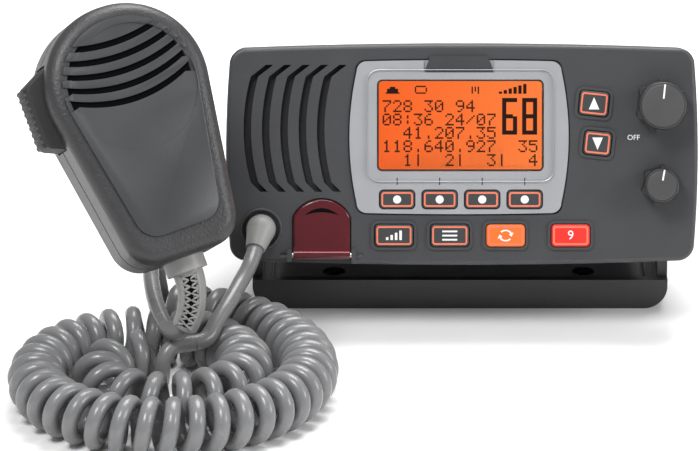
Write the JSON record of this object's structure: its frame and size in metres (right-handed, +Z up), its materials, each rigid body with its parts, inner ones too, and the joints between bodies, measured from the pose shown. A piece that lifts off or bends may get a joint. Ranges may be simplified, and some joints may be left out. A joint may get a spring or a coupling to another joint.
{
  "type": "marine vhf radio",
  "caption": "Fixed-mount marine radio in a tilting bracket, with a fist microphone on a curly cord coiled in front",
  "frame": {"origin": "Middle of the bracket's four screw holes, on its underside", "axes": "+Z up, the face looks along -Y, +X to the right seen from the front"},
  "size_m": [0.2456, 0.255, 0.1367],
  "materials": {
    "dark_case": "moulded, fine grain",
    "black_metal": "black powder coat",
    "bracket_plastic": "moulded, satin",
    "silver_trim": "silver paint",
    "clear_lens": "clear polished window",
    "amber_screen": "lit amber liquid crystal",
    "speaker_cloth": "black woven mesh",
    "knob_black": "moulded, satin",
    "steel_fitting": "plain bright metal",
    "brass_fitting": "plain turned brass",
    "red_clear": "clear dark red moulding",
    "red_key": "silicone key",
    "orange_key": "silicone key",
    "key_grey": "silicone key",
    "black_rubber": "moulded rubber",
    "circuit_board": "green board",
    "cord_rubber": "smooth grey cord cover",
    "mic_plastic": "moulded, fine grain",
    "mic_rubber": "moulded, knurled"
  },
  "bodies": {
    "bracket": {"mounting_bracket": "bracket_plastic", "left_pivot_washer": "black_rubber", "right_pivot_washer": "black_rubber", "cord_coil": "cord_rubber", "cord_drop": "cord_rubber", "cord_arch": "cord_rubber"},
    "left_knob": {"left_pivot_knob": "bracket_plastic"},
    "right_knob": {"right_pivot_knob": "bracket_plastic"},
    "volume": {"volume_knob": "knob_black"},
    "squelch": {"squelch_knob": "knob_black"},
    "flap": {"distress_cover": "red_clear"},
    "distress": {"distress_button": "red_key"},
    "ptt": {"ptt_button": "mic_rubber"},
    "soft_key_1": {"soft_key_1": "key_grey"},
    "soft_key_2": {"soft_key_2": "key_grey"},
    "soft_key_3": {"soft_key_3": "key_grey"},
    "soft_key_4": {"soft_key_4": "key_grey"},
    "power_level_key": {"power_level_key": "key_grey"},
    "menu_key": {"menu_key": "key_grey"},
    "recall_key": {"recall_key": "orange_key"},
    "priority_key": {"priority_key": "red_key"},
    "channel_up_key": {"channel_up_key": "key_grey"},
    "channel_down_key": {"channel_down_key": "key_grey"},
    "microphone": {"mic_front_shell": "mic_plastic", "mic_back_shell": "mic_plastic", "mic_seal": "black_rubber", "mic_circuit_board": "circuit_board", "mic_switch": "knob_black", "mic_capsule": "steel_fitting", "mic_hang_stud": "steel_fitting", "mic_board_posts": "mic_plastic", "mic_cord_boot": "cord_rubber"},
    "radio": {"antenna_socket": "steel_fitting", "blank_tab": "dark_case", "cord_gland": "cord_rubber", "data_lead_gland": "black_rubber", "display_bezel": "silver_trim", "display_lens": "clear_lens", "distress_hinge_pin": "steel_fitting", "face_gasket": "black_rubber", "front_cover": "dark_case", "heat_sink": "black_metal", "keypad_board": "circuit_board", "keypad_membrane": "black_rubber", "lcd_module": "amber_screen", "left_pivot_insert": "brass_fitting", "main_circuit_board": "circuit_board", "power_lead_gland": "black_rubber", "radio_cord_boot": "cord_rubber", "rear_housing": "black_metal", "right_pivot_insert": "brass_fitting", "speaker": "black_metal", "speaker_mesh": "speaker_cloth", "squelch_pot": "steel_fitting", "volume_pot": "steel_fitting"}
  },
  "joints": [
    {"name": "tilt", "type": "hinge", "parent": "bracket", "child": "radio", "pos_m": [0, -0.0231, 0.0557], "axis": [-1, 0, 0], "range_deg": [-16, 8], "deforming": ["cord_drop"]},
    {"name": "left_knob_turn", "type": "hinge", "parent": "bracket", "child": "left_knob", "pos_m": [-0.08, -0.0231, 0.0557], "axis": [1, 0, 0], "continuous": true},
    {"name": "right_knob_turn", "type": "hinge", "parent": "bracket", "child": "right_knob", "pos_m": [0.08, -0.0231, 0.0557], "axis": [1, 0, 0], "continuous": true},
    {"name": "volume_turn", "type": "hinge", "parent": "radio", "child": "volume", "pos_m": [0.0715, -0.05083, 0.08364], "axis": [0, -0.9511, 0.309], "range_deg": [-220, 60]},
    {"name": "squelch_turn", "type": "hinge", "parent": "radio", "child": "squelch", "pos_m": [0.0713, -0.05966, 0.05643], "axis": [0, -0.9511, 0.309], "range_deg": [-220, 60]},
    {"name": "flap_swing", "type": "hinge", "parent": "radio", "child": "flap", "pos_m": [-0.0505, -0.06805, 0.03224], "axis": [1, 0, 0], "range_deg": [0, 100], "stiffness_Nm_per_rad": 0.003, "springref_deg": -28.65},
    {"name": "distress_press", "type": "slide", "parent": "radio", "child": "distress", "axis": [0, 0.9511, -0.309], "range_m": [0, 0.0009], "stiffness_N_per_m": 400},
    {"name": "ptt_press", "type": "slide", "parent": "microphone", "child": "ptt", "axis": [0.9021, 0.3846, 0.1956], "range_m": [0, 0.0018], "stiffness_N_per_m": 400},
    {"name": "mic_lift", "type": "slide", "parent": "bracket", "child": "microphone", "axis": [0, 0, 1], "range_m": [0, 0.04], "deforming": ["cord_arch"]},
    {"name": "soft_1_press", "type": "slide", "parent": "radio", "child": "soft_key_1", "axis": [0, 0.9511, -0.309], "range_m": [0, 0.0009], "stiffness_N_per_m": 300},
    {"name": "soft_2_press", "type": "slide", "parent": "radio", "child": "soft_key_2", "axis": [0, 0.9511, -0.309], "range_m": [0, 0.0009], "stiffness_N_per_m": 300},
    {"name": "soft_3_press", "type": "slide", "parent": "radio", "child": "soft_key_3", "axis": [0, 0.9511, -0.309], "range_m": [0, 0.0009], "stiffness_N_per_m": 300},
    {"name": "soft_4_press", "type": "slide", "parent": "radio", "child": "soft_key_4", "axis": [0, 0.9511, -0.309], "range_m": [0, 0.0009], "stiffness_N_per_m": 300},
    {"name": "power_level_press", "type": "slide", "parent": "radio", "child": "power_level_key", "axis": [0, 0.9511, -0.309], "range_m": [0, 0.0009], "stiffness_N_per_m": 300},
    {"name": "menu_press", "type": "slide", "parent": "radio", "child": "menu_key", "axis": [0, 0.9511, -0.309], "range_m": [0, 0.0009], "stiffness_N_per_m": 300},
    {"name": "recall_press", "type": "slide", "parent": "radio", "child": "recall_key", "axis": [0, 0.9511, -0.309], "range_m": [0, 0.0009], "stiffness_N_per_m": 300},
    {"name": "priority_press", "type": "slide", "parent": "radio", "child": "priority_key", "axis": [0, 0.9511, -0.309], "range_m": [0, 0.0009], "stiffness_N_per_m": 300},
    {"name": "channel_up_press", "type": "slide", "parent": "radio", "child": "channel_up_key", "axis": [0, 0.9511, -0.309], "range_m": [0, 0.0009], "stiffness_N_per_m": 300},
    {"name": "channel_down_press", "type": "slide", "parent": "radio", "child": "channel_down_key", "axis": [0, 0.9511, -0.309], "range_m": [0, 0.0009], "stiffness_N_per_m": 300}
  ]
}
